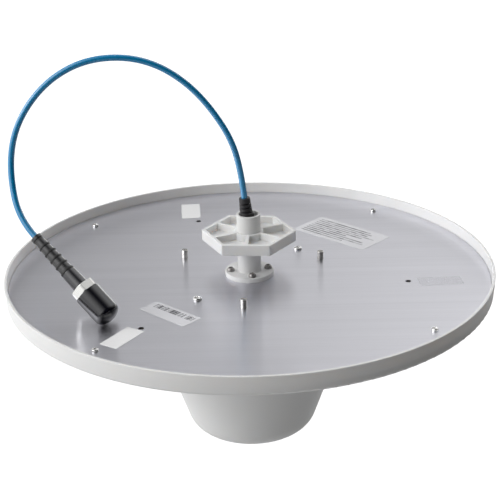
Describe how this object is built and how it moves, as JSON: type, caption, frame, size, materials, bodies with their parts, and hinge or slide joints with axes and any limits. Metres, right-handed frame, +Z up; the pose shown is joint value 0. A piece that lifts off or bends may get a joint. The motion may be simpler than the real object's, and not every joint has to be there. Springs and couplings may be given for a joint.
{
  "type": "ceiling dome antenna",
  "caption": "Round ceiling antenna with a tapered dome, brushed ground plane, hand nut on a hollow stem and a short coaxial pigtail.",
  "frame": {"origin": "centre of the rim's upper edge, the plane that lies against the ceiling", "axes": "+Z up along the mounting stem, away from the dome; the pigtail loops towards -X and its plug lies towards -X -Y"},
  "size_m": [0.4, 0.3998, 0.3273],
  "materials": {
    "white_shell": "smooth white moulded plastic, light gloss",
    "white_nylon": "satin white moulded plastic",
    "brushed_aluminium": "straight-grained brushed sheet",
    "bare_aluminium": "plain machined",
    "bright_steel": "zinc-plated",
    "dark_steel": "darkened",
    "nickel": "bright nickel plate",
    "brass": "plain machined",
    "blue_jacket": "extruded jacket, satin",
    "black_rubber": "moulded rubber, satin",
    "black_sleeve": "shrunk sleeve, glossy",
    "black_cap": "soft moulded cap, glossy",
    "red_seal": "silicone",
    "ptfe": "plain turned",
    "grey_bracket": "plain moulded"
  },
  "bodies": {
    "root": {"radome": "white_shell", "ground_plane": "brushed_aluminium", "rim_screws": "bright_steel", "mounting_stem": "white_nylon", "flange_screws": "dark_steel", "stem_strain_relief": "black_rubber", "coax_inner": "blue_jacket", "coax_lead": "blue_jacket", "coax_tail": "blue_jacket", "connector_boot": "black_rubber", "connector_sleeve": "black_sleeve", "connector_body": "nickel", "retaining_ring": "nickel", "coupling_gasket": "red_seal", "connector_dielectric": "ptfe", "centre_contact": "brass", "feed_flange": "brass", "feed_insulator": "ptfe", "feed_pin": "brass", "cable_ferrule": "brass", "radiator_cone": "bare_aluminium", "radiator_cap": "bare_aluminium", "cap_screws": "bright_steel", "radiator_bracket": "grey_bracket", "bracket_screws": "bright_steel", "collar_screws": "bright_steel", "support_posts": "nickel", "low_band_ring": "bare_aluminium", "ring_screws": "bright_steel"},
    "nut": {"ceiling_nut": "white_nylon"},
    "coupling": {"coupling_nut": "nickel", "dust_cap": "black_cap"}
  },
  "joints": [
    {"name": "nut_travel", "type": "slide", "parent": "root", "child": "nut", "axis": [0, 0, 1], "range_m": [-0.0225, 0.013]},
    {"name": "coupling_spin", "type": "hinge", "parent": "root", "child": "coupling", "pos_m": [-0.1648, -0.0542, 0.04904], "axis": [0.666, -0.4646, -0.5835], "continuous": true}
  ]
}
